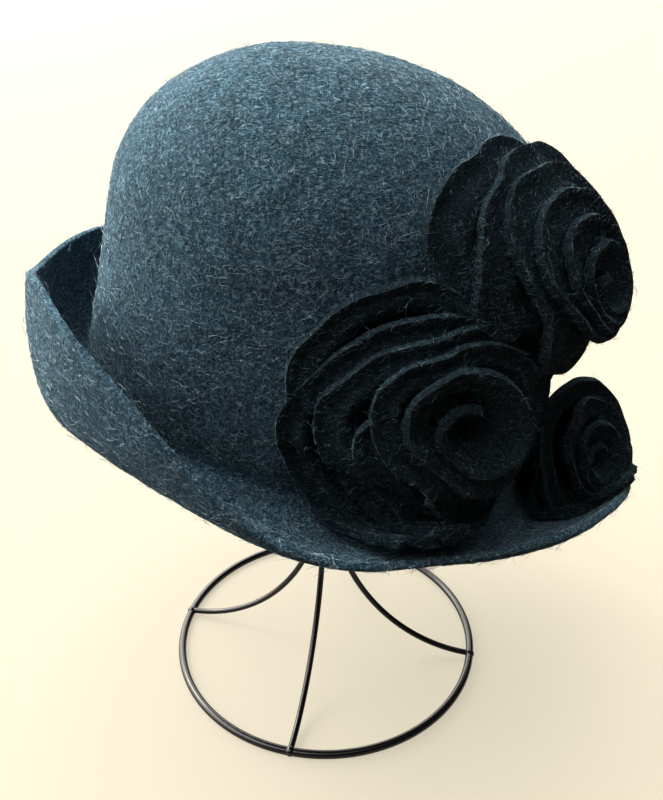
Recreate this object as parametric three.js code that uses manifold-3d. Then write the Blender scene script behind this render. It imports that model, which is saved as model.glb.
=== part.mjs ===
// A wool felt cloche hat with three wound felt roses, resting tilted on a black wire hat stand.
// Millimetres, +Z up, the stand's foot ring on the plane z = 0.
// +X points to the rose end of the hat and -Y to the side that carries the large rose.
import * as THREE from "three";
import { mergeVertices } from "three/addons/utils/BufferGeometryUtils.js";
import Module from "manifold-3d";

const wasm = await Module();
wasm.setup();

// Felt and seats
const feltThickness = 3.0;
const seatGap = 0.35; // clearance between pieces that touch

// Crown: a dome on a short wall over the oval head opening, sizes to the middle of the felt
const crownHalfLength = 96.4;
const crownHalfWidth = 88;
const domeHeight = 73.6;
const domePower = 2.1; // 2 is a round dome, more is squarer
const wallHeight = 75.4;
const wallFlare = -2;

// Brim, sizes to the middle of the felt
const brimWidth = 48;
const brimDip = 20;
const brimRollHeight = 55;

// How the hat sits on the stand
const tiltToRoses = 16.3; // degrees, rose end down
const highestPoint = new THREE.Vector2(-9.5, 5); // of the crown, from the post

// Wire stand
const ringRadius = 80;
const ringWireRadius = 2;
const legWireRadius = 1.5;
const legCount = 4;
const legFirstAngle = 78; // degrees from +X
const legHeight = 96;
const postRadius = 3;
const padRadius = 24;
const padThickness = 3;
const padCurveRadius = 62;
const standHeight = 301;

// Smoothness of the faceted surfaces
const hatSegments = 52;
const domeRows = 8;
const wallRows = 2;
const brimRows = 9;
const roseSegments = 14; // a turn
const wireSides = 8;
const ringSegments = 48;
const legSteps = 12;
const padSegments = 16;

// Brim shape around the hat. angle is in degrees from +X, negative towards the large rose.
// reach is a share of brimWidth, dip of brimDip and rise of brimRollHeight.
const brimTable = [
  { angle: -180, reach: 0.64, dip: 1.22, rise: 0.86 },
  { angle: -150, reach: 0.66, dip: 1.0, rise: 1.0 },
  { angle: -120, reach: 0.8, dip: 0.42, rise: 0.59 },
  { angle: -90, reach: 0.79, dip: 0.29, rise: 0.24 },
  { angle: -60, reach: 0.83, dip: 0.44, rise: 0.14 },
  { angle: -30, reach: 1.2, dip: 0.48, rise: 0.2 },
  { angle: 0, reach: 1.32, dip: 0.5, rise: 0.22 },
  { angle: 30, reach: 1.2, dip: 0.5, rise: 0.2 },
  { angle: 60, reach: 0.9, dip: 0.49, rise: 0.17 },
  { angle: 90, reach: 0.85, dip: 0.45, rise: 0.32 },
  { angle: 120, reach: 0.81, dip: 0.58, rise: 0.6 },
  { angle: 150, reach: 0.76, dip: 0.9, rise: 0.86 },
];

const degrees = Math.PI / 180;

// Smooth periodic interpolation of a table's column over its angle column.
function aroundTable(table, column, angle) {
  const step = 360 / table.length;
  const place = ((((angle - table[0].angle) % 360) + 360) % 360) / step;
  const row = Math.floor(place);
  const part = place - row;
  const pick = (offset) => table[(row + offset + table.length) % table.length][column];
  const [before, here, next, after] = [pick(-1), pick(0), pick(1), pick(2)];
  const bend = 2 * before - 5 * here + 4 * next - after;
  const twist = 3 * (here - next) + after - before;
  return here + 0.5 * part * (next - before + part * (bend + part * twist));
}

// Middle of the felt at an angle round the hat and a share down it: 0 to 1 dome, 1 to 2 wall, 2 to 3 brim.
function feltPoint(angle, share) {
  const cos = Math.cos(angle);
  const sin = Math.sin(angle);
  if (share <= 1) {
    const polar = (share * Math.PI) / 2;
    const spread = Math.sin(polar) ** (2 / domePower);
    const height = wallHeight + domeHeight * Math.max(Math.cos(polar), 0) ** (2 / domePower);
    return new THREE.Vector3(crownHalfLength * spread * cos, crownHalfWidth * spread * sin, height);
  }
  const outward = new THREE.Vector2(cos / crownHalfLength, sin / crownHalfWidth).normalize();
  let out;
  let height;
  if (share <= 2) {
    const down = share - 1;
    out = wallFlare * down * down;
    height = wallHeight * (1 - down);
  } else {
    const angleDegrees = angle / degrees;
    const reach = brimWidth * aroundTable(brimTable, "reach", angleDegrees);
    const dip = brimDip * aroundTable(brimTable, "dip", angleDegrees);
    const rise = brimRollHeight * aroundTable(brimTable, "rise", angleDegrees);
    [out, height] = brimProfile(share - 2, reach, dip, rise);
    out += wallFlare;
  }
  return new THREE.Vector3(
    crownHalfLength * cos + out * outward.x,
    crownHalfWidth * sin + out * outward.y,
    height,
  );
}

// Distance out and height of the brim at a share from the crown to its lip:
// a quarter round out of the wall, then an arc that rolls up.
function brimProfile(share, reach, dip, rise) {
  const turnShare = 0.3; // of the brim's rows
  const turnReach = 0.36; // of its reach
  if (share < turnShare) {
    const turn = ((share / turnShare) * Math.PI) / 2;
    return [reach * turnReach * (1 - Math.cos(turn)), -dip * Math.sin(turn)];
  }
  const rollAngle = 78 * degrees;
  const roll = ((share - turnShare) / (1 - turnShare)) * rollAngle;
  const out = reach * (turnReach + ((1 - turnReach) * Math.sin(roll)) / Math.sin(rollAngle));
  return [out, -dip + (rise * (1 - Math.cos(roll))) / (1 - Math.cos(rollAngle))];
}

// Outward normal of the felt.
function feltNormal(angle, share) {
  const small = 1e-3;
  if (share < 10 * small) return new THREE.Vector3(0, 0, 1);
  const around = feltPoint(angle + small, share).sub(feltPoint(angle - small, share));
  const low = Math.max(share - small, 0);
  const high = Math.min(share + small, 3);
  const along = feltPoint(angle, high).sub(feltPoint(angle, low));
  return along.cross(around).normalize();
}

function feltOffset(angle, share, offset) {
  return feltPoint(angle, share).addScaledVector(feltNormal(angle, share), offset);
}

// Shares of the rows from the dome's top to the lip.
function feltShares() {
  const shares = [];
  for (let i = 1; i <= domeRows; i++) shares.push(i / domeRows);
  for (let i = 1; i <= wallRows; i++) shares.push(1 + i / wallRows);
  for (let i = 1; i <= brimRows; i++) shares.push(2 + i / brimRows);
  return shares;
}

// A closed mesh from vertices and triangles, as a solid.
function solidOf(vertices, triangles) {
  const made = new THREE.BufferGeometry();
  made.setAttribute("position", new THREE.Float32BufferAttribute(vertices.flatMap((v) => v.toArray()), 3));
  made.setIndex(triangles);
  return solidOfGeometry(made);
}

function solidOfGeometry(geometry) {
  const bare = new THREE.BufferGeometry();
  bare.setAttribute("position", geometry.getAttribute("position"));
  bare.setIndex(geometry.index);
  const merged = mergeVertices(bare, 1e-3);
  const triVerts = new Uint32Array(merged.index.array);
  const vertProperties = merged.attributes.position.array;
  return new wasm.Manifold(new wasm.Mesh({ numProp: 3, vertProperties, triVerts }));
}

function geometryOf(solid) {
  const mesh = solid.getMesh();
  const geometry = new THREE.BufferGeometry();
  geometry.setAttribute("position", new THREE.BufferAttribute(mesh.vertProperties, 3));
  geometry.setIndex(new THREE.BufferAttribute(mesh.triVerts, 1));
  geometry.computeVertexNormals();
  return geometry;
}

// Rings of points from one pole to another, each ring one turn round the axis.
function loftRings(firstPole, rings, lastPole) {
  const count = rings[0].length;
  const vertices = [firstPole, ...rings.flat(), lastPole];
  const lastIndex = vertices.length - 1;
  const at = (ring, i) => 1 + ring * count + (i % count);
  const triangles = [];
  for (let i = 0; i < count; i++) {
    triangles.push(0, at(0, i), at(0, i + 1));
    for (let ring = 0; ring < rings.length - 1; ring++) {
      triangles.push(at(ring, i), at(ring + 1, i), at(ring + 1, i + 1));
      triangles.push(at(ring, i), at(ring + 1, i + 1), at(ring, i + 1));
    }
    triangles.push(lastIndex, at(rings.length - 1, i + 1), at(rings.length - 1, i));
  }
  return solidOf(vertices, triangles);
}

// The felt shell between two offsets from the middle of the felt, with a rounded lip.
function feltShell(outerOffset, innerOffset) {
  const shares = feltShares();
  const ring = (share, offset) =>
    Array.from({ length: hatSegments }, (unused, i) => feltOffset((i / hatSegments) * 2 * Math.PI, share, offset));
  const lip = Array.from({ length: hatSegments }, (unused, i) => {
    const angle = (i / hatSegments) * 2 * Math.PI;
    const tip = feltPoint(angle, 3);
    const tangent = tip.clone().sub(feltPoint(angle, 2.98)).normalize();
    return tip.addScaledVector(tangent, (outerOffset - innerOffset) * 0.4);
  });
  const rings = [
    ...shares.map((share) => ring(share, outerOffset)),
    lip,
    ...shares.map((share) => ring(share, innerOffset)).reverse(),
  ];
  const top = wallHeight + domeHeight;
  const firstPole = new THREE.Vector3(0, 0, top + outerOffset);
  const lastPole = new THREE.Vector3(0, 0, top + innerOffset);
  return loftRings(firstPole, rings, lastPole);
}

const hatSolid = feltShell(feltThickness / 2, -feltThickness / 2);

// Wound roses: strips of felt wound round a middle, each layer resting on the next one out.
const roseReach = 56; // how far the largest rose reaches from its middle
const roseWidth = 13; // how far a layer runs in under the layer inside it
const roseStep = 4; // how far a layer's edge stands over the next layer out
const roseCurl = 1; // how far an edge turns up
const roseFelt = 2.6; // thickness of the strip
const roseRoot = 8; // how far a strip runs into the crown before it is cut to it
const roseCore = 3; // radius of the roll in the middle
const edgeDroop = 4; // how far a strip's two ends sink and draw in
const roseClearance = 0.8; // between one rose and the next
const filletRadius = 25; // of the round where the crown meets the brim
const filletTop = 16; // height at which that round starts
const brimFall = 4; // how far the brim runs out for a millimetre down

// Height of a rose at a reach, as shares of its height and of its radius.
const roseProfile = [
  { reach: 0, rise: 0.88 },
  { reach: 0.2, rise: 0.93 },
  { reach: 0.4, rise: 0.86 },
  { reach: 0.55, rise: 0.7 },
  { reach: 0.7, rise: 0.5 },
  { reach: 0.85, rise: 0.34 },
  { reach: 1.0, rise: 0.22 },
  { reach: 1.3, rise: 0.15 },
];

// A strip's edge: how far round it is in degrees, then how far out as a share of the rose's radius.
const stripColumns = ["turned", "reach"];
const largeCoil = [
  [60, 0.06], [183, 0.2], [258, 0.22], [325, 0.38], [407, 0.44], [491, 0.45], [560, 0.34],
  [620, 0.31], [685, 0.52], [757, 0.69], [831, 0.58], [893, 0.54], [961, 0.42], [1015, 0.57],
  [1085, 0.89], [1150, 0.76], [1192, 0.69], [1259, 0.75], [1321, 0.65], [1364, 0.82], [1389, 1.1],
];
const largeHook = [[172, 0.55], [212, 0.58], [258, 0.61], [283, 0.75], [301, 0.96]];
const largeOuter = [[72, 0.79], [133, 0.82], [171, 0.86], [200, 0.92], [250, 0.91], [285, 1.18], [300, 1.3]];
const largeFlap = [[88, 0.93], [131, 1.02], [159, 0.97], [183, 0.91]];
const lowerCoil = [
  [0, 0.09], [180, 0.29], [270, 0.33], [360, 0.42], [450, 0.52], [520, 0.6], [600, 0.4], [720, 0.63],
  [806, 0.74], [859, 0.8], [897, 0.68], [940, 0.53], [1030, 0.79], [1130, 0.92], [1205, 0.95],
  [1242, 0.82], [1299, 0.75], [1350, 0.9], [1390, 1.3],
];
const upperCoil = [
  [90, 0.06], [215, 0.13], [284, 0.17], [360, 0.24], [450, 0.3], [575, 0.22], [644, 0.26], [720, 0.36],
  [810, 0.44], [880, 0.43], [935, 0.32], [1004, 0.35], [1080, 0.48], [1170, 0.58], [1240, 0.58],
  [1295, 0.42], [1364, 0.44], [1440, 0.6], [1530, 0.72], [1600, 0.71], [1655, 0.54], [1724, 0.55],
  [1800, 0.72], [1890, 0.85], [1960, 0.82], [2015, 0.67], [2084, 0.66], [2150, 0.8],
];
const upperFlap = [[95, 0.88], [130, 0.94], [162, 1.04], [194, 0.93], [225, 0.8]];

// Where each rose sits on the crown and which way it faces, in the hat's own axes.
// radius and height are shares of roseReach, heading is in degrees from +X and elevation in degrees up.
const roses = [
  {
    name: "rose_large", angle: -68, share: 1.44, radius: 1, height: 0.64, heading: -57, elevation: 27,
    strips: [largeCoil, largeHook, largeOuter, largeFlap],
  },
  {
    name: "rose_lower", angle: -17, share: 1.66, radius: 0.68, height: 0.96, heading: -32, elevation: 26,
    strips: [lowerCoil],
  },
  {
    name: "rose_upper", angle: -47, share: 0.77, radius: 0.89, height: 0.61, heading: -20, elevation: 0,
    strips: [upperCoil, upperFlap],
  },
];

// Linear value of a column of a table at a place in another column.
function tableValue(table, key, place, column) {
  const next = Math.min(Math.max(table.findIndex((row) => row[key] >= place), 1), table.length - 1);
  const [low, high] = [table[next - 1], table[next]];
  const part = Math.min(Math.max((place - low[key]) / (high[key] - low[key]), 0), 1);
  return low[column] + (high[column] - low[column]) * part;
}

// Smooth reach of a strip's edge at a turn in degrees.
function edgeReach(strip, turned) {
  const [x, y] = stripColumns.map((unused, column) => strip.map((row) => row[column]));
  const next = Math.min(Math.max(x.findIndex((value) => value >= turned), 1), x.length - 1);
  const slope = (i) => {
    const [low, high] = [Math.max(i - 1, 0), Math.min(i + 1, x.length - 1)];
    return (y[high] - y[low]) / (x[high] - x[low]);
  };
  const span = x[next] - x[next - 1];
  const t = (turned - x[next - 1]) / span;
  const [a, b] = [y[next - 1], y[next]];
  const bend = (t ** 3 - 2 * t ** 2 + t) * slope(next - 1) + (t ** 3 - t ** 2) * slope(next);
  return (2 * t ** 3 - 3 * t ** 2 + 1) * a + (3 * t ** 2 - 2 * t ** 3) * b + span * bend;
}

// Under 1 for a point inside the crown and the round where it meets the brim, over 1 for one outside.
function crownLevel(point) {
  const high = Math.max(point.z - wallHeight, 0) / domeHeight;
  const below = Math.min(Math.max(filletTop - point.z, 0), filletRadius);
  const fillet = filletRadius - Math.sqrt(filletRadius ** 2 - below ** 2);
  const out = fillet + Math.max(filletTop - filletRadius - point.z, 0) * brimFall;
  const spread = Math.hypot(point.x / (crownHalfLength + out), point.y / (crownHalfWidth + out));
  return spread ** domePower + high ** domePower;
}

// Slides a point along a direction on to the crown.
function dropOnCrown(point, direction) {
  let [inside, outside] = [-80, 60];
  for (let i = 0; i < 24; i++) {
    const middle = (inside + outside) / 2;
    if (crownLevel(point.clone().addScaledVector(direction, middle)) > 1) outside = middle;
    else inside = middle;
  }
  return point.clone().addScaledVector(direction, inside);
}

// Point over the crown at a turn, a distance out from the rose's middle and a height.
function rosePoint(rose, turned, radius, height) {
  const foot = rose.seat
    .clone()
    .addScaledVector(rose.across, radius * Math.cos(turned * degrees))
    .addScaledVector(rose.upward, radius * Math.sin(turned * degrees));
  const outer = Math.min(radius / rose.reach, 1);
  const up = rose.facing.clone().lerp(rose.normal, outer).normalize();
  return dropOnCrown(foot, rose.normal).addScaledVector(up, height);
}

// Section of a layer at a turn: its face from the edge inwards, its root, and the underside of its lip.
function layerSection(rose, strip, turned, grow) {
  const nearest = Math.min(turned - strip[0][0], strip[strip.length - 1][0] - turned);
  const sunk = edgeDroop * (1 - Math.sqrt(Math.min(Math.max(nearest, 0) / 18, 1)));
  const reach = Math.max(rose.reach * edgeReach(strip, turned) - sunk, 1);
  const width = Math.min(roseWidth, reach * 0.85);
  const top = (inward) => {
    const steep = Math.min(inward / 6, 1);
    const fall = steep * steep * (3 - 2 * steep) * roseStep + 0.5 * Math.max(inward - 8, 0) ** 1.6;
    const curl = roseCurl * Math.max(1 - inward / 3, 0) ** 2;
    const rise = rose.tall * tableValue(roseProfile, "reach", (reach - inward) / rose.reach, "rise");
    return rise - fall + curl - sunk;
  };
  const lip = top(0) - roseFelt - grow;
  return [
    rosePoint(rose, turned, reach + grow, top(0) + grow),
    rosePoint(rose, turned, reach - 0.22 * width, top(0.22 * width) + grow),
    rosePoint(rose, turned, reach - 0.55 * width, top(0.55 * width) + grow),
    rosePoint(rose, turned, reach - width - grow, top(width) + grow),
    rosePoint(rose, turned, reach - width - grow, -roseRoot),
    rosePoint(rose, turned, reach - 0.45 * width, -roseRoot),
    rosePoint(rose, turned, reach - 0.28 * width, lip - 0.5),
    rosePoint(rose, turned, reach + grow, lip),
  ];
}

// A strip as a solid, in lengths of half a turn that are joined.
function stripSolid(rose, strip, grow) {
  const extra = (1.5 * grow) / (rose.reach * degrees);
  const [first, last] = [strip[0][0], strip[strip.length - 1][0]];
  const steps = Math.ceil(((last - first) / 360) * roseSegments);
  const lengths = Math.ceil(steps / (roseSegments / 2));
  const pieces = Array.from({ length: lengths }, (unused, k) => {
    const from = Math.round((k * steps) / lengths);
    const to = Math.round(((k + 1) * steps) / lengths);
    const sections = [];
    for (let i = from; i <= to; i++) {
      const past = i === 0 ? -extra : i === steps ? extra : 0;
      sections.push(layerSection(rose, strip, first + ((last - first) * i) / steps + past, grow));
    }
    return loftSections(sections);
  });
  return pieces.reduce((whole, piece) => whole.add(piece));
}

// A closed solid through sections of the same number of points.
function loftSections(sections) {
  const count = sections[0].length;
  const triangles = [];
  for (let i = 0; i < sections.length - 1; i++) {
    for (let j = 0; j < count; j++) {
      const here = i * count + j;
      const beside = i * count + ((j + 1) % count);
      triangles.push(here, here + count, beside + count, here, beside + count, beside);
    }
  }
  const ends = THREE.ShapeUtils.triangulateShape(sectionOutline, []);
  const last = (sections.length - 1) * count;
  for (const [a, b, c] of ends) {
    triangles.push(a, b, c);
    triangles.push(last + a, last + c, last + b);
  }
  return solidOf(sections.flat(), triangles);
}

// The outline that layerSection gives, drawn flat, from which the ends are filled.
const sectionOutline = [
  [0, 3], [-0.22, 2.4], [-0.55, 1.8], [-1, 1], [-1, -2], [-0.45, -2], [-0.28, 1.2], [0, 1.6],
].map(([x, y]) => new THREE.Vector2(x, y));

// The crown filled in, its outside grown by an offset.
function crownPlug(offset) {
  const shares = feltShares().filter((share) => share <= 2);
  const rings = shares.map((share) =>
    Array.from({ length: hatSegments }, (unused, i) => feltOffset((i / hatSegments) * 2 * Math.PI, share, offset)),
  );
  const top = new THREE.Vector3(0, 0, wallHeight + domeHeight + offset);
  return loftRings(top, rings, new THREE.Vector3(0, 0, 0));
}

// Seat, directions and sizes of a rose, in the hat's own axes.
function placeRose(rose) {
  const tilt = rose.elevation * degrees;
  const heading = rose.heading * degrees;
  const level = Math.cos(tilt);
  rose.reach = rose.radius * roseReach;
  rose.tall = rose.height * roseReach;
  rose.seat = feltPoint(rose.angle * degrees, rose.share);
  rose.normal = feltNormal(rose.angle * degrees, rose.share);
  rose.facing = new THREE.Vector3(level * Math.cos(heading), level * Math.sin(heading), Math.sin(tilt));
  rose.across = new THREE.Vector3(0, 0, 1).cross(rose.normal).normalize();
  rose.upward = rose.normal.clone().cross(rose.across);
}

// The strips and the roll in the middle that they are wound on.
function woundFelt(rose, grow) {
  const length = rose.tall * 0.86 - roseStep;
  const roll = new THREE.CylinderGeometry(roseCore + grow, roseCore + grow, length, 12);
  roll.translate(0, length / 2, 0);
  roll.applyQuaternion(new THREE.Quaternion().setFromUnitVectors(new THREE.Vector3(0, 1, 0), rose.facing));
  const foot = dropOnCrown(rose.seat, rose.normal);
  roll.translate(foot.x, foot.y, foot.z);
  return rose.strips.reduce((whole, strip) => whole.add(stripSolid(rose, strip, grow)), solidOfGeometry(roll));
}

// The roses, each cut to the hat and to the roses before it with the clearance between.
function roseSolids() {
  const clearance = feltThickness / 2 + seatGap;
  let keepOut = crownPlug(clearance).add(feltShell(clearance, -clearance));
  return roses.map((rose) => {
    placeRose(rose);
    const pieces = woundFelt(rose, 0).subtract(keepOut).decompose();
    keepOut = keepOut.add(woundFelt(rose, roseClearance));
    return pieces.reduce((largest, piece) => (piece.volume() > largest.volume() ? piece : largest));
  });
}

// Wire stand: foot ring, curved legs, post and a round pad, brazed into one piece
function wireSection(radius) {
  const corner = radius / Math.cos(Math.PI / wireSides);
  return Array.from({ length: wireSides }, (unused, i) => {
    const angle = ((i + 0.5) / wireSides) * 2 * Math.PI;
    return new THREE.Vector2(corner * Math.cos(angle), corner * Math.sin(angle));
  });
}

function latheSolid(profile, segments) {
  const geometry = new THREE.LatheGeometry(profile, segments);
  geometry.rotateX(Math.PI / 2);
  return solidOfGeometry(geometry);
}

function footRing() {
  const profile = wireSection(ringWireRadius).map((p) => new THREE.Vector2(ringRadius + p.x, p.y + ringWireRadius));
  return latheSolid([...profile, profile[0]], ringSegments);
}

// A leg leaves the ring level and sweeps up beside the post along a quarter of an ellipse.
class LegCurve extends THREE.Curve {
  constructor(direction) {
    super();
    this.direction = direction;
  }
  getPoint(t, target = new THREE.Vector3()) {
    const turn = (t * Math.PI) / 2;
    const topRadius = postRadius;
    const low = ringWireRadius + legWireRadius * 0.5;
    const radius = ringRadius - (ringRadius - topRadius) * Math.sin(turn);
    const height = legHeight - (legHeight - low) * Math.cos(turn);
    return target.set(radius * Math.cos(this.direction), radius * Math.sin(this.direction), height);
  }
}

function legSolid(direction) {
  const shape = new THREE.Shape(wireSection(legWireRadius));
  const geometry = new THREE.ExtrudeGeometry(shape, {
    extrudePath: new LegCurve(direction),
    steps: legSteps,
    bevelEnabled: false,
  });
  return solidOfGeometry(geometry);
}

// Height of the pad's domed top at a distance from the post's middle.
function padTop(radius) {
  return standHeight - padCurveRadius + Math.sqrt(padCurveRadius ** 2 - radius ** 2);
}

function postAndPad() {
  const foot = legHeight - 12;
  const profile = [new THREE.Vector2(0, foot), new THREE.Vector2(postRadius, foot)];
  profile.push(new THREE.Vector2(postRadius, padTop(postRadius) - padThickness));
  const rimSteps = 3;
  for (let i = 1; i <= rimSteps; i++) {
    const radius = postRadius + ((padRadius - postRadius) * i) / rimSteps;
    profile.push(new THREE.Vector2(radius, padTop(radius) - padThickness));
  }
  for (let i = rimSteps; i >= 1; i--) {
    const radius = (padRadius * i) / rimSteps;
    profile.push(new THREE.Vector2(radius, padTop(radius)));
  }
  profile.push(new THREE.Vector2(0, standHeight));
  return latheSolid(profile, padSegments);
}

function wireStand() {
  let stand = footRing().add(postAndPad());
  for (let i = 0; i < legCount; i++) {
    const direction = (legFirstAngle + (i * 360) / legCount) * degrees;
    stand = stand.add(legSolid(direction));
  }
  return stand;
}

// Materials
const feltMaterial = new THREE.MeshStandardMaterial({ color: 0x2c3e4a, roughness: 0.95, metalness: 0 });
const roseMaterial = new THREE.MeshStandardMaterial({ color: 0x1d2c35, roughness: 0.95, metalness: 0 });
const wireMaterial = new THREE.MeshStandardMaterial({ color: 0x101214, roughness: 0.3, metalness: 0.1 });

// Assembly
function named(name, geometry, material) {
  const mesh = new THREE.Mesh(geometry, material);
  mesh.name = name;
  return mesh;
}

// Lowers the hat until its inside rests on the pad, its highest point where highestPoint says.
function seatHat(hat) {
  hat.rotation.y = tiltToRoses * degrees;
  hat.updateMatrix();
  const inside = [];
  for (let i = 0; i < 120; i++) {
    for (let j = 0; j <= 60; j++) {
      const point = feltOffset((i / 60) * Math.PI, j / 80, -feltThickness / 2);
      inside.push(point.applyMatrix4(hat.matrix));
    }
  }
  const highest = inside.reduce((best, point) => (point.z > best.z ? point : best));
  const shift = highestPoint.clone().sub(new THREE.Vector2(highest.x, highest.y));
  let lift = -Infinity;
  for (const point of inside) {
    const radius = Math.hypot(point.x + shift.x, point.y + shift.y);
    if (radius < padRadius) lift = Math.max(lift, padTop(radius) + seatGap - point.z);
  }
  hat.position.set(shift.x, shift.y, lift);
}

const part = new THREE.Group();
part.add(named("wire_stand", geometryOf(wireStand()), wireMaterial));

const hat = new THREE.Group();
hat.add(named("felt_hat", geometryOf(hatSolid), feltMaterial));
roseSolids().forEach((solid, i) => hat.add(named(roses[i].name, geometryOf(solid), roseMaterial)));
seatHat(hat);
part.add(hat);

// Origin at the middle of the whole outline, on the plane the stand stands on.
part.updateMatrixWorld(true);
const outline = new THREE.Box3().setFromObject(part, true);
const middle = outline.getCenter(new THREE.Vector3());
part.position.set(-middle.x, -middle.y, -outline.min.z);

export default part;
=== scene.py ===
import math
import bpy
import numpy as np
from mathutils import Euler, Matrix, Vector, noise
from mathutils.bvhtree import BVHTree


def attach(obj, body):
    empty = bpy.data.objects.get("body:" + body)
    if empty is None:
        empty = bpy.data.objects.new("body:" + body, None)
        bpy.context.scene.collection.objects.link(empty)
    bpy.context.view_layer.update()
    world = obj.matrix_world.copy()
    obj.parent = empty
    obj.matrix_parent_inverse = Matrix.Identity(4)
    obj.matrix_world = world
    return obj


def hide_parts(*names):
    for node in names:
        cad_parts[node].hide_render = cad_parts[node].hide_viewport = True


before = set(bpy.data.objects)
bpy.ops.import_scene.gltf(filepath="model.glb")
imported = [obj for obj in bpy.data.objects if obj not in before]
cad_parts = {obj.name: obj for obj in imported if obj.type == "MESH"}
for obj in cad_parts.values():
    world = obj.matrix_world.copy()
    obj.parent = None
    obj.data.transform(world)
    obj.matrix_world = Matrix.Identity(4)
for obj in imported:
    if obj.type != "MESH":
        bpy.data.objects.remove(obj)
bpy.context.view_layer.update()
bpy.ops.object.select_all(action="DESELECT")
print("frame loaded")

# camera and studio
studio = {
    "lens": 35.33,
    "cameraPlace": (0.0002, -0.3366, 0.3256),
    "cameraTilt": 62.01,
    "floorSize": 60.0,
    "floorTone": (0.12, 0.112, 0.096),
    "floorGlow": (0.66, 0.62, 0.52),
    "backdropReach": 20.0,
    "backdropGlow": (0.98, 0.955, 0.896),
    "windowSide": (-0.58, 0.42, 0.74),
    "windowGlow": 6.3,
    "roomGlow": 0.07,
    "viewGamma": 0.72,
    "windowTone": (1.0, 0.965, 0.91),
    "glowStart": 0.15,
    "glowFull": 0.95,
    "sunPlace": (-1.2, 0.7, 1.6),
    "sunPower": 1.4,
    "sunSpread": 16.0,
}


def nodeMaterial(name):
    material = bpy.data.materials.new(name)
    material.use_nodes = True
    return material, material.node_tree.nodes["Principled BSDF"]


def paleMaterial(name, tone, glow, rough, specular):
    material, shader = nodeMaterial(name)
    shader.inputs["Base Color"].default_value = (*tone, 1.0)
    shader.inputs["Roughness"].default_value = rough
    shader.inputs["Specular IOR Level"].default_value = specular
    shader.inputs["Emission Color"].default_value = (*glow, 1.0)
    shader.inputs["Emission Strength"].default_value = 1.0
    return material


bpy.ops.object.camera_add(location=studio["cameraPlace"])
camera = bpy.context.object
camera.name = "photoCamera"
camera.rotation_euler = Euler((math.radians(studio["cameraTilt"]), 0.0, 0.0))
camera.data.lens = studio["lens"]
camera.data.sensor_width = 36.0
camera.data.clip_start = 0.01
bpy.context.scene.camera = camera

bpy.ops.mesh.primitive_plane_add(size=studio["floorSize"], location=(0.0, 0.0, 0.0))
floor = bpy.context.object
floor.name = "floor"
floor.data.materials.append(
    paleMaterial("paleFloor", studio["floorTone"], studio["floorGlow"], 0.85, 0.1))
# pale to the camera, but throws no light up under the hat
floor.visible_diffuse = False

# a pale surround that the camera sees and that lights nothing
bpy.ops.mesh.primitive_uv_sphere_add(
    segments=48, ring_count=24, radius=studio["backdropReach"], location=(0.0, 0.0, 0.0))
backdrop = bpy.context.object
backdrop.name = "backdrop"
backdrop.data.materials.append(
    paleMaterial("paleBackdrop", (0.0, 0.0, 0.0), studio["backdropGlow"], 0.5, 0.0))
backdrop.visible_diffuse = False
backdrop.visible_glossy = False
backdrop.visible_transmission = False
backdrop.visible_shadow = False

# a wide soft window glow from one side of the room
world = bpy.data.worlds.new("softRoom")
world.use_nodes = True
nodes, links = world.node_tree.nodes, world.node_tree.links
side = nodes.new("ShaderNodeVectorMath")
side.operation = "DOT_PRODUCT"
side.inputs[1].default_value = Vector(studio["windowSide"]).normalized()
links.new(nodes.new("ShaderNodeTexCoord").outputs["Generated"], side.inputs[0])
glow = nodes.new("ShaderNodeMapRange")
glow.interpolation_type = "SMOOTHSTEP"
glow.inputs["From Min"].default_value = studio["glowStart"]
glow.inputs["From Max"].default_value = studio["glowFull"]
glow.inputs["To Min"].default_value = studio["roomGlow"]
glow.inputs["To Max"].default_value = studio["windowGlow"]
links.new(side.outputs["Value"], glow.inputs["Value"])
links.new(glow.outputs["Result"], nodes["Background"].inputs["Strength"])
nodes["Background"].inputs["Color"].default_value = (*studio["windowTone"], 1.0)
bpy.context.scene.world = world
bpy.context.scene.view_settings.view_transform = "Standard"
bpy.context.scene.view_settings.gamma = studio["viewGamma"]

bpy.ops.object.light_add(type="SUN", location=studio["sunPlace"])
sun = bpy.context.object
sun.name = "windowSun"
sun.data.energy = studio["sunPower"]
sun.data.angle = math.radians(studio["sunSpread"])
sun.data.color = studio["windowTone"]
sun.rotation_euler = (-Vector(studio["windowSide"])).to_track_quat("-Z", "Y").to_euler()
print("studio ready")

# hat form, in millimetres and in the hat's own axes: +Z up the crown, +X to the roses
hatForm = {
    "halfLength": 96.4, "halfWidth": 88.0, "dome": 73.6, "domePower": 2.1,
    "wall": 75.4, "wallFlare": -2.0,
    "brim": 48.0, "dip": 20.0, "roll": 55.0, "rollAngle": 78.0,
    "turnShare": 0.3, "turnReach": 0.36,
    "thickness": 3.0,
    "around": 176, "rows": 104, "rowSplit": (0.0, 0.46, 0.73, 1.0),
    "tilt": 16.3, "place": (-17.375, -1.452, 155.264),
    # depth, size and seed of the soft dents
    "dents": ((0.9, 38.0, 3), (0.35, 14.0, 8)), "dentFree": 0.125,
    # the round where the crown meets the brim: its top, its radius and how it opens out below
    "meetTop": 16.0, "meetRound": 25.0, "meetOpen": 4.0,
    "brimTable": [
        # angle in degrees, then shares of the reach, dip and roll
        (-180, 0.62, 1.1, 0.88), (-150, 0.62, 0.82, 1.08), (-120, 0.76, 0.32, 0.75), (-90, 0.87, 0.29, 0.19),
        (-60, 0.81, 0.43, 0.2), (-30, 1.18, 0.42, 0.42), (0, 1.46, 0.49, 0.35), (30, 1.19, 0.5, 0.2),
        (60, 0.9, 0.49, 0.17), (90, 0.86, 0.43, 0.3), (120, 0.81, 0.57, 0.59), (150, 0.74, 0.84, 0.85),
    ],
}


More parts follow.
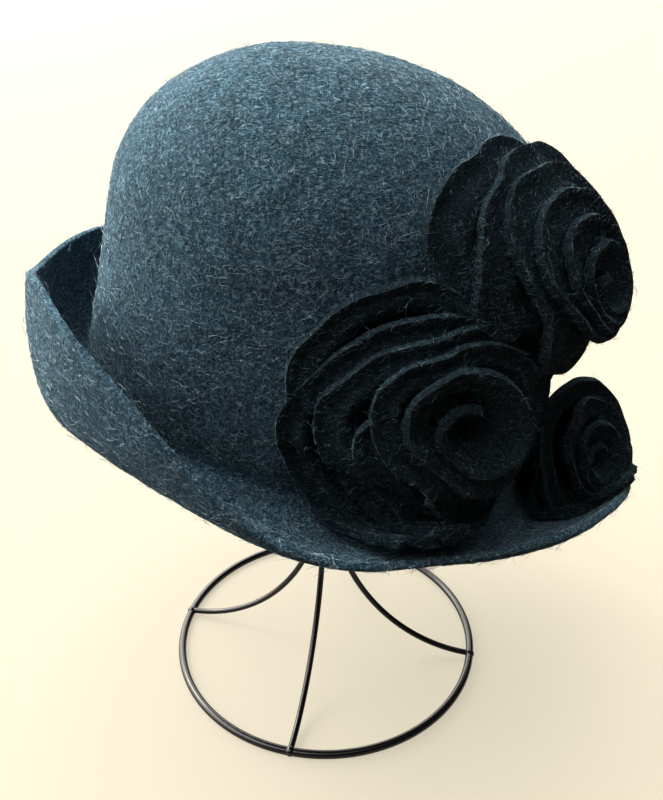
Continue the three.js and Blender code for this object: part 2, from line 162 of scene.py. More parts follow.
def toRow(points):
    # millimetres in the hat's axes to metres in the row frame
    tilt = math.radians(hatForm["tilt"])
    turn = np.array([[math.cos(tilt), 0, math.sin(tilt)], [0, 1, 0], [-math.sin(tilt), 0, math.cos(tilt)]])
    return (np.asarray(points) @ turn.T + np.array(hatForm["place"])) * 0.001


def brimValue(column, angle):
    table = np.array(hatForm["brimTable"])
    values = table[:, column]
    place = ((np.degrees(angle) - table[0, 0]) % 360) / 30.0
    row = np.floor(place).astype(int)
    part = place - row
    before, here, after, beyond = (values[(row + k) % 12] for k in (-1, 0, 1, 2))
    bend = 2 * before - 5 * here + 4 * after - beyond
    twist = 3 * (here - after) + beyond - before
    return here + 0.5 * part * (after - before + part * (bend + part * twist))


def feltPoint(angle, share):
    # middle of the felt: share 0 to 1 is the dome, 1 to 2 the wall, 2 to 3 the brim
    form = hatForm
    cos, sin = np.cos(angle), np.sin(angle)
    polar = np.clip(share, 0, 1) * math.pi / 2
    power = 2 / form["domePower"]
    spread = np.sin(polar) ** power
    high = form["wall"] + form["dome"] * np.clip(np.cos(polar), 0, 1) ** power
    down = np.clip(share - 1, 0, 1)
    out = form["wallFlare"] * down ** 2
    high = high - form["wall"] * down
    brimShare = np.clip(share - 2, 0, 1)
    reach = form["brim"] * brimValue(1, angle)
    dip = form["dip"] * brimValue(2, angle)
    rise = form["roll"] * brimValue(3, angle)
    turn = np.clip(brimShare / form["turnShare"], 0, 1) * math.pi / 2
    rollAngle = math.radians(form["rollAngle"])
    roll = np.clip((brimShare - form["turnShare"]) / (1 - form["turnShare"]), 0, 1) * rollAngle
    turned = reach * form["turnReach"] * (1 - np.cos(turn))
    rolled = reach * (1 - form["turnReach"]) * np.sin(roll) / math.sin(rollAngle)
    out = out + turned + rolled
    high = high - dip * np.sin(turn) + rise * (1 - np.cos(roll)) / (1 - math.cos(rollAngle))
    outward = np.stack([cos / form["halfLength"], sin / form["halfWidth"]], -1)
    outward /= np.linalg.norm(outward, axis=-1, keepdims=True)
    return np.stack([
        form["halfLength"] * spread * cos + out * outward[..., 0],
        form["halfWidth"] * spread * sin + out * outward[..., 1],
        high,
    ], -1)


def roughness(points, size, seed):
    # smooth noise at each point, about -1 to 1
    shift = Vector((seed * 7.3, seed * 3.1, seed * 5.7))
    return np.array([noise.noise(Vector(p) / size + shift) for p in np.asarray(points).tolist()])


def shapedGrid(name, across, along, place):
    # a grid primitive whose corners are moved to place(u, v)
    bpy.ops.mesh.primitive_grid_add(x_subdivisions=across, y_subdivisions=along, size=1.0)
    made = bpy.context.object
    made.name = name
    made.data.name = name
    corners = np.empty(len(made.data.vertices) * 3)
    made.data.vertices.foreach_get("co", corners)
    corners = corners.reshape(-1, 3)
    moved = place(corners[:, 0] + 0.5, corners[:, 1] + 0.5)
    made.data.vertices.foreach_set("co", moved.reshape(-1))
    made.data.update()
    return made


def selectOnly(pieces):
    bpy.ops.object.select_all(action="DESELECT")
    for piece in pieces:
        piece.select_set(True)
    bpy.context.view_layer.objects.active = pieces[0]


def joinPieces(pieces, name):
    selectOnly(pieces)
    bpy.ops.object.join()
    joined = bpy.context.view_layer.objects.active
    joined.name = name
    return joined


def cleanMesh(made, merge=0.00002):
    selectOnly([made])
    bpy.ops.object.mode_set(mode="EDIT")
    bpy.ops.mesh.select_all(action="SELECT")
    bpy.ops.mesh.remove_doubles(threshold=merge)
    bpy.ops.mesh.normals_make_consistent(inside=False)
    bpy.ops.mesh.select_all(action="DESELECT")
    bpy.ops.object.mode_set(mode="OBJECT")


def applyModifier(made, kind, **values):
    modifier = made.modifiers.new(kind.lower(), kind)
    for key, value in values.items():
        setattr(modifier, key, value)
    bpy.context.view_layer.objects.active = made
    bpy.ops.object.modifier_apply(modifier=modifier.name)


def roundEdges(made, angle, width=0.0011):
    limit = math.radians(angle)
    applyModifier(made, "BEVEL", width=width, segments=3, limit_method="ANGLE", angle_limit=limit)


def smoothShade(made, angle=60.0):
    selectOnly([made])
    bpy.ops.object.shade_smooth_by_angle(angle=math.radians(angle))


def hatShare(v):
    # share down the felt at v, with rows spread by the felt's length
    return np.interp(v, hatForm["rowSplit"], [0.0, 1.0, 2.0, 3.0])


def hatPlace(u, v):
    angle = (u * 2 - 1) * math.pi
    share = hatShare(1 - v)
    base = feltPoint(angle, share)
    step = 1e-3
    around = feltPoint(angle + step, share) - feltPoint(angle - step, share)
    down = feltPoint(angle, np.clip(share + step, 0, 3)) - feltPoint(angle, np.clip(share - step, 0, 3))
    normal = np.cross(down, around)
    length = np.linalg.norm(normal, axis=-1, keepdims=True)
    normal = np.where(length > 1e-9, normal / np.maximum(length, 1e-9), [0.0, 0.0, 1.0])
    dents = sum(depth * roughness(base, size, seed) for depth, size, seed in hatForm["dents"])
    # none at the very top, where the rows meet
    dents = dents * np.clip(share / hatForm["dentFree"], 0, 1)
    return toRow(base + normal * dents[:, None])


hat = shapedGrid("felt_hat_shell", hatForm["around"], hatForm["rows"], hatPlace)
cleanMesh(hat)
applyModifier(hat, "SOLIDIFY", thickness=hatForm["thickness"] * 0.001, offset=0.0, use_even_offset=True)
roundEdges(hat, 60)
smoothShade(hat)
hatSurface = BVHTree.FromObject(hat, bpy.context.evaluated_depsgraph_get())
print("hat shaped", len(hat.data.polygons))

# roses: strips of felt wound round the rose's middle, each layer resting on the next one out
# a strip's rows give the edge: how far round in degrees, and how far out in millimetres
# raised is the side that stands up, in degrees, and by how much; root is how deep a strip's foot goes
roseForms = [
    {
        "name": "rose_large_petals", "node": "rose_large",
        "angle": -68, "share": 1.44, "heading": -57, "elevation": 27, "radius": 56.0, "height": 36.0,
        "profile": [(0, 0.86), (0.2, 0.92), (0.4, 0.86), (0.55, 0.7), (0.7, 0.5), (0.85, 0.34),
                    (1.0, 0.22), (1.3, 0.16)],
        "width": 15.0, "step": 4.0, "curl": 1.0, "thickness": 2.8, "ripple": 0.8, "seed": 11,
        "overhang": -3.0, "raised": (-25, 17.0), "root": 14.0,
        "strips": [
            [(60, 3), (120, 7), (183, 11), (220, 11.3), (258, 12.2), (299, 17.1), (325, 21), (362, 23.5),
             (407, 24.5), (448, 26), (491, 25.1), (530, 22.5), (560, 19), (581, 16.5), (620, 17.5),
             (655, 24), (685, 33), (715, 41), (738, 44), (757, 43.5), (777, 41), (797, 38.3), (815, 35.5),
             (831, 32.8), (854, 33.1), (876, 32.5), (893, 30.2), (912, 28), (941, 24.5), (961, 23.5),
             (980, 25), (1015, 37), (1039, 46), (1060, 53), (1085, 56), (1117, 53), (1150, 46),
             (1192, 38.4), (1219, 39.6), (1240, 40.5), (1259, 42.2), (1278, 41), (1301, 37.7),
             (1321, 37.6), (1344, 41.5), (1364, 47), (1382, 53), (1402, 58), (1422, 60), (1442, 58)],
            [(172, 31), (186, 32.9), (212, 32.2), (234, 31.9), (258, 34.2), (283, 41.7), (301, 47),
             (325, 51), (345, 52)],
            [(72, 44), (105, 45), (133, 45.6), (152, 45.6), (171, 47.9), (185, 50.4), (200, 51.5),
             (225, 50), (250, 51), (268, 54), (284, 57), (302, 57)],
            [(88, 52), (115, 57.2), (131, 56.9), (147, 55.1), (159, 54.2), (173, 52.5), (183, 51)],
        ],
    },
    {
        "name": "rose_lower_petals", "node": "rose_lower",
        "centre": (127.0, -31.0, 17.0), "heading": -60, "elevation": 26, "radius": 34.0, "height": 17.0,
        "profile": [(0, 0.9), (0.3, 1.0), (0.5, 0.95), (0.65, 0.82), (0.8, 0.6), (0.95, 0.42), (1.1, 0.3),
                    (1.4, 0.1)],
        "width": 20.0, "step": 4.0, "curl": 1.2, "thickness": 2.8, "ripple": 1.4, "seed": 23, "overhang": 7.0,
        "raised": (0, 0.0), "root": 34.0,
        "strips": [
            [(20, 3), (90, 6), (180, 8), (270, 8.5), (360, 10), (450, 16), (540, 13), (630, 12.5),
             (720, 15), (765, 20), (810, 26.5), (855, 23), (900, 19), (945, 17), (990, 17), (1035, 19),
             (1080, 23), (1125, 30), (1170, 35), (1215, 34), (1260, 31), (1305, 31), (1350, 34),
             (1400, 36), (1440, 35), (1460, 33)],
            [(200, 34), (240, 37), (275, 39), (300, 37), (330, 33), (360, 29), (385, 25)],
        ],
    },
    {
        "name": "rose_upper_petals", "node": "rose_upper",
        "angle": -47, "share": 0.77, "heading": -20, "elevation": 0, "radius": 50.0, "height": 34.0,
        "profile": [(0, 0.9), (0.2, 0.95), (0.4, 0.86), (0.6, 0.7), (0.8, 0.5), (1.0, 0.3), (1.3, 0.15)],
        "width": 22.0, "step": 4.0, "curl": 1.2, "thickness": 2.6, "ripple": 1.0, "seed": 37, "overhang": 0.0,
        "raised": (-70, 6.0), "root": 15.0,
        "strips": [
            [(90, 2), (160, 6), (215, 6), (284, 8), (360, 12), (450, 15), (520, 14), (575, 10.3),
             (644, 13), (720, 18), (810, 22), (880, 21.5), (935, 14.5), (1004, 17), (1080, 24),
             (1170, 29), (1240, 29.3), (1295, 20), (1364, 21.5), (1440, 30), (1530, 36), (1600, 35.5),
             (1655, 27), (1690, 35), (1724, 40), (1760, 42), (1800, 40), (1890, 42.5), (1960, 41),
             (2015, 43), (2050, 50), (2084, 56), (2110, 58), (2150, 51)],
            [(95, 44), (118, 46), (130, 47), (143, 48.5), (162, 51.9), (179, 51), (194, 46.5), (205, 43),
             (225, 40)],
        ],
    },
]


# where a strip's foot is looked for along its way to the hat, and where the brim holds it up
restForm = {
    "inside": -80.0, "outside": 60.0, "halvings": 26,
    "brimBelow": 24.0, "dropFrom": 60.0, "pulls": 24, "pull": 0.02, "gap": 1.0,
}
# what all strips share: tapered ends, ripples along the edge and over the face, fold, foot and curl
stripForm = {
    "endTurn": 16.0, "endIn": 5.0, "endReach": 20.0, "endDown": 4.0,
    "rippleTurn": 6.0, "edgeRipple": 11.0, "faceRipple": 15.0,
    "widthShare": 0.85, "fallWidth": 6.0, "rootFrom": 7.0, "rootPower": 1.6, "curlWidth": 3.0,
    "rows": 14, "stepTurn": 4,
}


def bedLevel(points):
    # under 1 inside the crown and the round where it meets the brim
    form = hatForm
    high = np.maximum(points[..., 2] - form["wall"], 0) / form["dome"]
    below = np.clip(form["meetTop"] - points[..., 2], 0, form["meetRound"])
    extra = form["meetRound"] - np.sqrt(np.maximum(form["meetRound"] ** 2 - below ** 2, 0))
    extra = extra + np.maximum(form["meetTop"] - form["meetRound"] - points[..., 2], 0) * form["meetOpen"]
    along = points[..., 0] / (form["halfLength"] + extra)
    over = points[..., 1] / (form["halfWidth"] + extra)
    return np.hypot(along, over) ** form["domePower"] + high ** form["domePower"]


def dropOnHat(points, direction):
    # slid along direction to the crown's outside, found by halving
    inside = np.full(points.shape[:-1], restForm["inside"])
    outside = np.full(points.shape[:-1], restForm["outside"])
    for i in range(restForm["halvings"]):
        middle = (inside + outside) / 2
        out = bedLevel(points + direction * middle[..., None]) > 1
        outside = np.where(out, middle, outside)
        inside = np.where(out, inside, middle)
    return points + direction * inside[..., None]


def unit(vector):
    return vector / np.linalg.norm(vector, axis=-1, keepdims=True)


def roseFrame(form):
    # where a rose sits, the way its bed and its middle face, and two directions across its bed
    heading = math.radians(form["heading"])
    lift = math.radians(form["elevation"])
    level = math.cos(lift)
    facing = np.array([level * math.cos(heading), level * math.sin(heading), math.sin(lift)])
    if "centre" in form:
        seat, normal = np.array(form["centre"]), facing
    else:
        angle, share, step = math.radians(form["angle"]), form["share"], 1e-4

        def at(a, s):
            return feltPoint(np.array([a]), np.array([s]))[0]

        seat = at(angle, share)
        around = at(angle + step, share) - at(angle - step, share)
        down = at(angle, share + step) - at(angle, share - step)
        normal = unit(np.cross(down, around))
    across = unit(np.cross([0.0, 0.0, 1.0], normal))
    return seat, normal, facing, across, np.cross(normal, across)


def liftOffBrim(points, height, overhang):
    # what would sink into the brim is laid on it, and what reaches past its edge is drawn in
    rest = restForm
    down = Vector(toRow([[0.0, 0.0, -1.0]])[0] - toRow([[0.0, 0.0, 0.0]])[0]).normalized()
    settled = points.copy()
    for i in np.flatnonzero(points[:, 2] < rest["brimBelow"]):
        for pull in range(rest["pulls"]):
            x, y = points[i, :2] * (1 - rest["pull"] * pull)
            start = Vector(toRow([[x, y, rest["dropFrom"]]])[0])
            spot, _, _, distance = hatSurface.ray_cast(start, down)
            if spot is not None:
                top = rest["dropFrom"] - distance * 1000.0
                past = min(np.linalg.norm(points[i, :2] - [x, y]), overhang) / np.linalg.norm([x, y])
                settled[i] = [x * (1 + past), y * (1 + past), max(points[i, 2], top + height[i])]
                break
    return settled


def smoothTable(rows, places):
    # smooth value of the second column at places in the first
    x = np.array([row[0] for row in rows], float)
    y = np.array([row[1] for row in rows], float)
    slope = np.gradient(y, x)
    k = np.clip(np.searchsorted(x, places) - 1, 0, len(x) - 2)
    h = x[k + 1] - x[k]
    t = (places - x[k]) / h
    return ((2 * t ** 3 - 3 * t ** 2 + 1) * y[k] + (t ** 3 - 2 * t ** 2 + t) * h * slope[k]
            + (3 * t ** 2 - 2 * t ** 3) * y[k + 1] + (t ** 3 - t ** 2) * h * slope[k + 1])


def buildRose(form):
    seat, normal, facing, across, upward = roseFrame(form)
    wound = stripForm
    made = []
    for number, rows in enumerate(form["strips"]):
        first, last = rows[0][0], rows[-1][0]

        def stripPlace(u, v):
            # u runs along the strip and v from its foot to its free edge
            degrees = first + (last - first) * u
            turn = np.radians(degrees)
            reach = smoothTable(rows, degrees)
            rim = np.stack([np.cos(turn) * reach, np.sin(turn) * reach, turn * wound["rippleTurn"]], -1)
            ends = np.sqrt(np.clip(np.minimum(degrees - first, last - degrees) / wound["endTurn"], 0, 1))
            ripple = roughness(rim, wound["edgeRipple"], form["seed"] + number) * form["ripple"]
            reach = reach + ripple * (0.3 + 0.7 * v ** 2)
            reach = reach - (1 - ends) * wound["endIn"] * np.clip(reach / wound["endReach"], 0, 1)
            inward = np.minimum(form["width"], reach * wound["widthShare"]) * (1 - v)
            radius = reach - inward
            outer = np.clip(radius / form["radius"], 0, 1)
            fall = np.clip(inward / wound["fallWidth"], 0, 1)
            deep = np.clip((inward - wound["rootFrom"]) / (form["width"] - wound["rootFrom"]), 0, 1)
            fall = fall * fall * (3 - 2 * fall) * form["step"] + form["root"] * deep ** wound["rootPower"]
            rise = form["height"] * np.interp(radius / form["radius"], *zip(*form["profile"])) - fall
            rise = rise + form["curl"] * np.clip(1 - inward / wound["curlWidth"], 0, 1) ** 2
            ripple = roughness(rim, wound["faceRipple"], form["seed"] + number + 5) * form["ripple"]
            rise = rise + ripple * (0.4 + 0.8 * v)
            rise = rise - (1 - ends) * wound["endDown"]
            side, lifted = form["raised"]
            rise = rise + lifted * outer * np.clip(np.cos(turn - math.radians(side)), 0, 1)
            foot = seat + across * (radius * np.cos(turn))[:, None]
            foot = foot + upward * (radius * np.sin(turn))[:, None]
            up = unit(facing * (1 - outer[:, None]) + normal * outer[:, None])
            bed = foot if "centre" in form else dropOnHat(foot, normal)
            placed = bed + up * rise[:, None]
            gap = np.maximum(rise * 0.5, 0.0) + restForm["gap"]
            return toRow(liftOffBrim(placed, gap, form["overhang"]))

        steps = max(int((last - first) / wound["stepTurn"]), wound["rows"])
        strip = shapedGrid(form["name"] + str(number), steps, wound["rows"], stripPlace)
        cleanMesh(strip, 0.000001)
        applyModifier(strip, "SOLIDIFY", thickness=form["thickness"] * 0.001, offset=-1.0)
        roundEdges(strip, 55)
        made.append(strip)
    rose = joinPieces(made, form["name"])
    smoothShade(rose, 70.0)
    return rose


roses = [buildRose(form) for form in roseForms]
print("roses wound", [len(rose.data.polygons) for rose in roses])

# wire stand, in metres
standForm = {
    "centre": (-0.002804, -0.006452), "ring": 0.08, "ringWire": 0.002, "legWire": 0.0015,
    "firstLeg": 78.0, "legs": 4, "legTop": 0.096, "legSteps": 48, "post": 0.003, "postOverlap": 0.02,
    "braze": 1.25, "brazeHigh": 1.1,
    "pad": 0.024, "padCurve": 0.062, "padThickness": 0.003, "padRings": 6, "top": 0.301,
}


def bendLeg(heading):
    # a quarter ellipse of wire from the ring up to the post
    form = standForm
    x, y = form["centre"]
    curve = bpy.data.curves.new("legPath", "CURVE")
    curve.dimensions = "3D"
    curve.bevel_depth = form["legWire"]
    curve.bevel_resolution = 6
    curve.use_fill_caps = True
    spline = curve.splines.new("POLY")
    steps = form["legSteps"]
    spline.points.add(steps)
    low = form["ringWire"] + form["legWire"] * 0.5
    for i in range(steps + 1):
        turn = i / steps * math.pi / 2
        radius = form["ring"] - (form["ring"] - form["post"]) * math.sin(turn)
        high = form["legTop"] - (form["legTop"] - low) * math.cos(turn)
        spline.points[i].co = (x + radius * math.cos(heading), y + radius * math.sin(heading), high, 1.0)
    wire = bpy.data.objects.new("leg", curve)
    bpy.context.collection.objects.link(wire)
    selectOnly([wire])
    bpy.ops.object.convert(target="MESH")
    return bpy.context.object


def brazeJoint(heading):
    # a blob of braze where a leg meets the ring
    form = standForm
    x, y = form["centre"]
    place = (x + form["ring"] * math.cos(heading), y + form["ring"] * math.sin(heading),
             form["ringWire"] * form["brazeHigh"])
    bpy.ops.mesh.primitive_uv_sphere_add(
        segments=20, ring_count=12, radius=form["ringWire"] * form["braze"], location=place)
    return bpy.context.object


def domePad():
    # a circle drawn in ring by ring and lifted on to a dome
    form = standForm
    bpy.ops.mesh.primitive_circle_add(
        vertices=48, radius=form["pad"], fill_type="NOTHING", location=(*form["centre"], 0))
    pad = bpy.context.object
    bpy.ops.object.mode_set(mode="EDIT")
    rings = form["padRings"]
    for i in range(rings - 1):
        bpy.ops.mesh.extrude_region_move()
        scale = (rings - 1 - i) / (rings - i)
        bpy.ops.transform.resize(value=(scale, scale, 1.0))
    bpy.ops.mesh.merge(type="CENTER")
    bpy.ops.object.mode_set(mode="OBJECT")
    for vertex in pad.data.vertices:
        radius = math.hypot(vertex.co.x, vertex.co.y)
        vertex.co.z = form["top"] - form["padCurve"] + math.sqrt(form["padCurve"] ** 2 - radius ** 2)
    cleanMesh(pad)
    applyModifier(pad, "SOLIDIFY", thickness=form["padThickness"], offset=-1.0)
    roundEdges(pad, 50, 0.001)
    return pad


def buildStand():
    form = standForm
    x, y = form["centre"]
    bpy.ops.mesh.primitive_torus_add(
        major_radius=form["ring"], minor_radius=form["ringWire"], major_segments=160, minor_segments=20,
        location=(x, y, form["ringWire"]))
    pieces = [bpy.context.object]
    for leg in range(form["legs"]):
        heading = math.radians(form["firstLeg"] + leg * 360 / form["legs"])
        pieces.append(bendLeg(heading))
        pieces.append(brazeJoint(heading))
    postTop = form["top"] - form["padThickness"]
    bpy.ops.mesh.primitive_cylinder_add(
        vertices=32, radius=form["post"], depth=postTop - form["legTop"] + form["postOverlap"],
        location=(x, y, (postTop + form["legTop"] - form["postOverlap"]) / 2))
    pieces.append(bpy.context.object)
    pieces.append(domePad())
    stand = joinPieces(pieces, "wire_stand_painted")
    bpy.ops.object.transform_apply(location=True, rotation=True, scale=True)
    smoothShade(stand, 40.0)
    return stand


stand = buildStand()
print("stand bent", len(stand.data.polygons))

# felt: dark wool with paler strands through it
feltLook = {
    "dark": (0.006, 0.034, 0.062), "mid": (0.018, 0.076, 0.125), "pale": (0.38, 0.53, 0.60),
    "patch": 85.0, "patchRange": (0.3, 0.72), "grain": 1500.0, "pill": 260.0,
    "strands": ((250, (1.0, 1.0, 5.0), (0.3, 0.2, 0.0)), (290, (5.0, 1.0, 1.0), (0.0, 0.6, 0.5)),
                (330, (1.0, 4.6, 1.0), (0.7, 0.1, 1.1)), (380, (1.0, 1.0, 5.0), (1.2, 0.5, 0.3))),
    "strandWidth": 0.058, "strandShare": 0.52, "breaks": 800.0, "breakRange": (0.34, 0.66, 0.25, 1.0),
    "bump": 0.0008, "sheen": 0.2, "sheenTint": (0.62, 0.85, 0.98),
}


# the last argument multiplies every tone of the felt: painted shade, 1 for the hat's own felt and lower for a
# copy darkened for shade
def feltMaterial(name, look, paintedShade=1.0):
    material, shader = nodeMaterial(name)
    nodes, links = material.node_tree.nodes, material.node_tree.links
    place = nodes.new("ShaderNodeTexCoord").outputs["Object"]

    def noiseAt(scale, detail, stretch=(1.0, 1.0, 1.0), turn=(0.0, 0.0, 0.0), warp=0.0, rough=0.5):
        mapping = nodes.new("ShaderNodeMapping")
        mapping.inputs["Scale"].default_value = stretch
        mapping.inputs["Rotation"].default_value = turn
        links.new(place, mapping.inputs["Vector"])
        texture = nodes.new("ShaderNodeTexNoise")
        texture.inputs["Scale"].default_value = scale
        texture.inputs["Detail"].default_value = detail
        texture.inputs["Roughness"].default_value = rough
        texture.inputs["Distortion"].default_value = warp
        links.new(mapping.outputs["Vector"], texture.inputs["Vector"])
        return texture.outputs["Fac"]

    def maths(operation, first, second):
        node = nodes.new("ShaderNodeMath")
        node.operation = operation
        for socket, value in zip(node.inputs, (first, second)):
            if isinstance(value, (int, float)):
                socket.default_value = value
            elif value is not None:
                links.new(value, socket)
        return node.outputs["Value"]

    def ramp(value, low, high, start=0.0, end=1.0):
        node = nodes.new("ShaderNodeMapRange")
        node.interpolation_type = "SMOOTHSTEP"
        for key, number in zip(("From Min", "From Max", "To Min", "To Max"), (low, high, start, end)):
            node.inputs[key].default_value = number
        links.new(value, node.inputs["Value"])
        return node.outputs["Result"]

    def mixed(factor, first, second):
        node = nodes.new("ShaderNodeMix")
        node.data_type = "RGBA"
        links.new(factor, node.inputs["Factor"])
        for socket, value in ((node.inputs["A"], first), (node.inputs["B"], second)):
            if isinstance(value, tuple):
                socket.default_value = (*value, 1.0)
            else:
                links.new(value, socket)
        return node.outputs["Result"]

    def withPaintedShade(tone):
        return tuple(c * paintedShade for c in tone)

    strands = None
    for scale, stretch, turn in look["strands"]:
        line = maths("ABSOLUTE", maths("SUBTRACT", noiseAt(scale, 1.0, stretch, turn, 0.4), 0.5), None)
        line = ramp(line, 0.0, look["strandWidth"], 1.0, 0.0)
        strands = line if strands is None else maths("MAXIMUM", strands, line)
    patches = noiseAt(look["patch"], 4.0, rough=0.65)
    grain = noiseAt(look["grain"], 2.0)
    amount = maths("MULTIPLY", strands, ramp(noiseAt(look["breaks"], 3.0), *look["breakRange"]))
    amount = maths("MULTIPLY", amount, look["strandShare"])
    base = mixed(ramp(patches, *look["patchRange"]), withPaintedShade(look["dark"]), withPaintedShade(look["mid"]))
    links.new(mixed(amount, base, withPaintedShade(look["pale"])), shader.inputs["Base Color"])
    height = maths("ADD", maths("MULTIPLY", strands, 0.5), maths("MULTIPLY", grain, 0.5))
    height = maths("ADD", height, maths("MULTIPLY", noiseAt(look["pill"], 3.0), 0.8))
    bump = nodes.new("ShaderNodeBump")
    bump.inputs["Distance"].default_value = look["bump"]
    bump.inputs["Strength"].default_value = 1.0
    links.new(height, bump.inputs["Height"])
    links.new(bump.outputs["Normal"], shader.inputs["Normal"])
    shader.inputs["Roughness"].default_value = 0.95
    shader.inputs["Specular IOR Level"].default_value = 0.15
    shader.inputs["Sheen Weight"].default_value = look["sheen"]
    shader.inputs["Sheen Roughness"].default_value = 0.45
    shader.inputs["Sheen Tint"].default_value = (*look["sheenTint"], 1.0)
    return material


def fibreMaterial(name, dark, pale):
    material, shader = nodeMaterial(name)
    nodes, links = material.node_tree.nodes, material.node_tree.links
    place = nodes.new("ShaderNodeTexCoord")
    texture = nodes.new("ShaderNodeTexNoise")
    texture.inputs["Scale"].default_value = 650.0
    texture.inputs["Detail"].default_value = 1.0
    links.new(place.outputs["Object"], texture.inputs["Vector"])
    ramp = nodes.new("ShaderNodeValToRGB")
    ramp.color_ramp.elements[0].position = 0.32
    ramp.color_ramp.elements[0].color = (*dark, 1.0)
    ramp.color_ramp.elements[1].position = 0.68
    ramp.color_ramp.elements[1].color = (*pale, 1.0)
    links.new(texture.outputs["Fac"], ramp.inputs["Fac"])
    links.new(ramp.outputs["Color"], shader.inputs["Base Color"])
    shader.inputs["Roughness"].default_value = 0.7
    shader.inputs["Sheen Weight"].default_value = 0.4
    return material


def paintMaterial(name):
    material, shader = nodeMaterial(name)
    nodes, links = material.node_tree.nodes, material.node_tree.links
    shader.inputs["Base Color"].default_value = (0.008, 0.008, 0.010, 1.0)
    shader.inputs["Roughness"].default_value = 0.28
    shader.inputs["Coat Weight"].default_value = 0.4
    shader.inputs["Coat Roughness"].default_value = 0.15
    texture = nodes.new("ShaderNodeTexNoise")
    texture.inputs["Scale"].default_value = 320.0
    texture.inputs["Detail"].default_value = 3.0
    links.new(nodes.new("ShaderNodeTexCoord").outputs["Object"], texture.inputs["Vector"])
    bump = nodes.new("ShaderNodeBump")
    bump.inputs["Distance"].default_value = 0.00008
    links.new(texture.outputs["Fac"], bump.inputs["Height"])
    links.new(bump.outputs["Normal"], shader.inputs["Normal"])
    return material


hatMaterial = feltMaterial("marledFelt", feltLook)
# the roses are the same felt as the hat, painted darker for the shade they sit in: a quarter of its tones,
# dimmer strands and less sheen
paintedShadeRoseMaterial = feltMaterial("paintedShadeRoseFelt", dict(feltLook, pale=(0.28, 0.46, 0.56), sheen=0.1), 0.24)
hatFibre = fibreMaterial("paleFibres", (0.03, 0.11, 0.17), (0.46, 0.57, 0.62))
# the roses' loose wool: the hat's fibre tones painted darker for the shade the roses sit in
paintedShadeRoseFibre = fibreMaterial("paintedShadeRoseFibres", (0.012, 0.045, 0.07), (0.16, 0.27, 0.32))
paint = paintMaterial("glossBlackPaint")
for piece, material in [(hat, hatMaterial), (stand, paint)] + [(rose, paintedShadeRoseMaterial) for rose in roses]:
    piece.data.materials.clear()
    piece.data.materials.append(material)
print("felt and paint mixed")

# loose wool: fine spindles that lie on the felt, and a few that stand off it
# count in spindles, length, width and lift in millimetres, stray as a share of them
roseFuzz = {
    "length": (2.0, 5.0), "width": 0.075, "lift": 0.25, "stray": 0.06,
    "material": paintedShadeRoseFibre, "slot": "rose_felt",
}
fuzzLooks = [
    {"name": "felt_hat_fibres", "source": hat, "count": 32000, "length": (3.0, 9.0), "width": 0.08,
     "lift": 0.3, "stray": 0.11, "seed": 5, "material": hatFibre, "slot": "felt"},
    dict(roseFuzz, name="rose_large_fibres", source=roses[0], count=14000, seed=6),
    dict(roseFuzz, name="rose_lower_fibres", source=roses[1], count=9000, seed=7),
    dict(roseFuzz, name="rose_upper_fibres", source=roses[2], count=14000, seed=8),
]
# shared by all: sink and clear in metres, strayRise in millimetres, fallLine a direction, the rest shares
spindleForm = {
    "sink": 0.00005, "clear": 0.00003, "strayRise": (0.5, 2.6), "strayLonger": 1.6, "strayTip": 1.4,
    "bend": 0.34, "widths": (0.6, 1.3), "fallLine": (0.0, 0.0, 1.2),
}


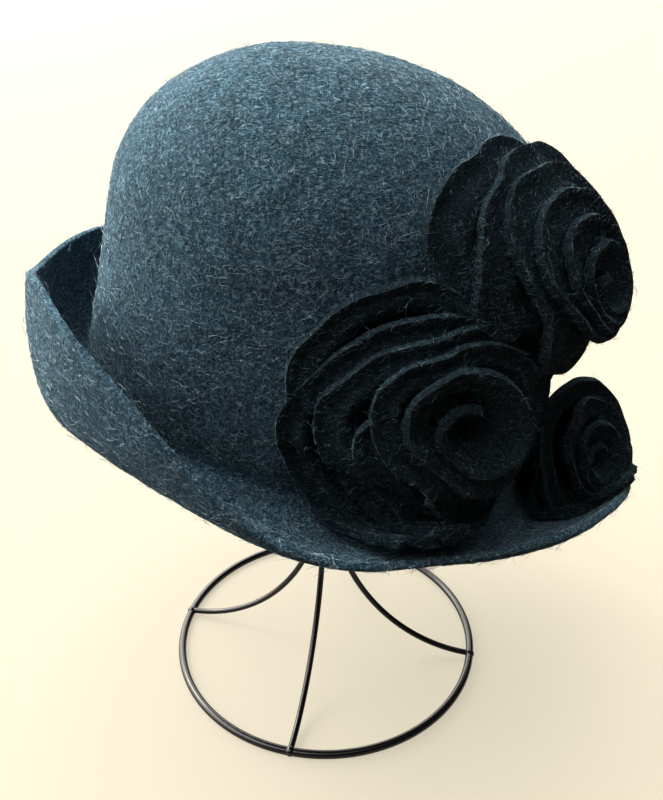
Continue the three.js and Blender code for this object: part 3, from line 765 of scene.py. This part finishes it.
def scatterFibres(look):
    form = spindleForm
    mesh = look["source"].data
    mesh.calc_loop_triangles()
    corners = np.empty(len(mesh.vertices) * 3)
    mesh.vertices.foreach_get("co", corners)
    corners = corners.reshape(-1, 3)
    triangles = np.empty(len(mesh.loop_triangles) * 3, int)
    mesh.loop_triangles.foreach_get("vertices", triangles)
    triangles = corners[triangles.reshape(-1, 3)]
    cross = np.cross(triangles[:, 1] - triangles[:, 0], triangles[:, 2] - triangles[:, 0])
    area = np.linalg.norm(cross, axis=1)
    chance = np.random.default_rng(look["seed"])
    count = look["count"]
    picked = chance.choice(len(area), count, p=area / area.sum())
    a, b = chance.random((2, count, 1))
    a, b = np.where(a + b > 1, 1 - a, a), np.where(a + b > 1, 1 - b, b)
    corner = triangles[picked]
    middle = corner[:, 0] + a * (corner[:, 1] - corner[:, 0]) + b * (corner[:, 2] - corner[:, 0])
    normal = cross[picked] / area[picked][:, None]
    drift = chance.normal(size=(count, 3)) + np.array(form["fallLine"])
    along = unit(np.cross(normal, drift))
    side = unit(np.cross(normal, along))
    length = 0.001 * chance.uniform(*look["length"], (count, 1))
    stray = chance.random((count, 1)) < look["stray"]
    lift = 0.001 * look["lift"] * chance.random((count, 1)) + form["clear"]
    rise = np.where(stray, 0.001 * chance.uniform(*form["strayRise"], (count, 1)), lift)
    length = np.where(stray, length * form["strayLonger"], length)
    bend = side * length * chance.uniform(-form["bend"], form["bend"], (count, 1))
    start = middle - along * length / 2 - normal * form["sink"]
    end = middle + along * length / 2 + normal * np.where(stray, rise * form["strayTip"], -form["sink"])
    centre = middle + bend + normal * rise * np.where(stray, 0.5, 1.0)
    width = 0.001 * look["width"] * chance.uniform(*form["widths"], (count, 1))
    turns = (math.pi / 2, math.pi * 7 / 6, math.pi * 11 / 6)
    rings = [centre + width * (math.cos(turn) * side + math.sin(turn) * normal) for turn in turns]
    points = np.stack([start, *rings, end], 1).reshape(-1, 3)
    shape = np.array([[0, 2, 1], [0, 3, 2], [0, 1, 3], [4, 1, 2], [4, 2, 3], [4, 3, 1]])
    faces = (shape[None] + np.arange(count)[:, None, None] * 5).reshape(-1, 3)
    wool = bpy.data.meshes.new(look["name"])
    wool.from_pydata(points.tolist(), [], faces.tolist())
    made = bpy.data.objects.new(look["name"], wool)
    bpy.context.collection.objects.link(made)
    wool.materials.append(look["material"])
    return made


fibres = [scatterFibres(look) for look in fuzzLooks]
print("fibres laid", [len(wool.data.polygons) for wool in fibres])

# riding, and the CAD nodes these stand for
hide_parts("felt_hat")
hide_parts("wire_stand")
for rose, form in zip(roses, roseForms):
    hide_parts(form["node"])
for piece, slot in [(hat, "felt"), (stand, "wire")] + [(rose, "rose_felt") for rose in roses]:
    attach(piece, "root")
for wool, look in zip(fibres, fuzzLooks):
    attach(wool, "root")

print("pieces on the frame")
